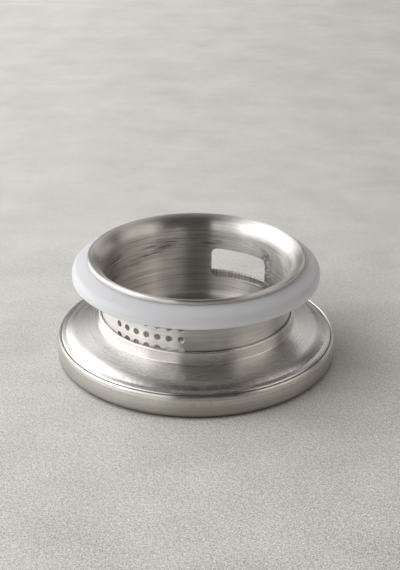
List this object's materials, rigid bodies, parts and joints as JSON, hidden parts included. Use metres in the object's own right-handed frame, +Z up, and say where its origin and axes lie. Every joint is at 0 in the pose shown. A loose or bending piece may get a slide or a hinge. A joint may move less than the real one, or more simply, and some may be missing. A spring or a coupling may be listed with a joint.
{
  "type": "strainer lid",
  "caption": "Round steel carafe lid stored cap down: hollow disc cap, strainer cup with a patch of small holes and a pour slot, flared lip and a silicone neck gasket.",
  "frame": {"origin": "centre of the cap's flat face, on the surface that the lid stands on", "axes": "+Z up along the lid's axis, from the cap to the cup's open mouth; +Y towards the pour slot; -Y towards the strainer holes"},
  "size_m": [0.1, 0.1, 0.0385],
  "materials": {
    "cap": "satin, turned lines round the rim",
    "pan": "satin, fine rings",
    "cup": "satin, drawn lines round the wall",
    "gasket": "translucent white silicone, satin"
  },
  "bodies": {
    "root": {"lid_cap": "cap", "lid_pan": "pan", "strainer_cup": "cup", "neck_gasket": "gasket"}
  },
  "joints": []
}
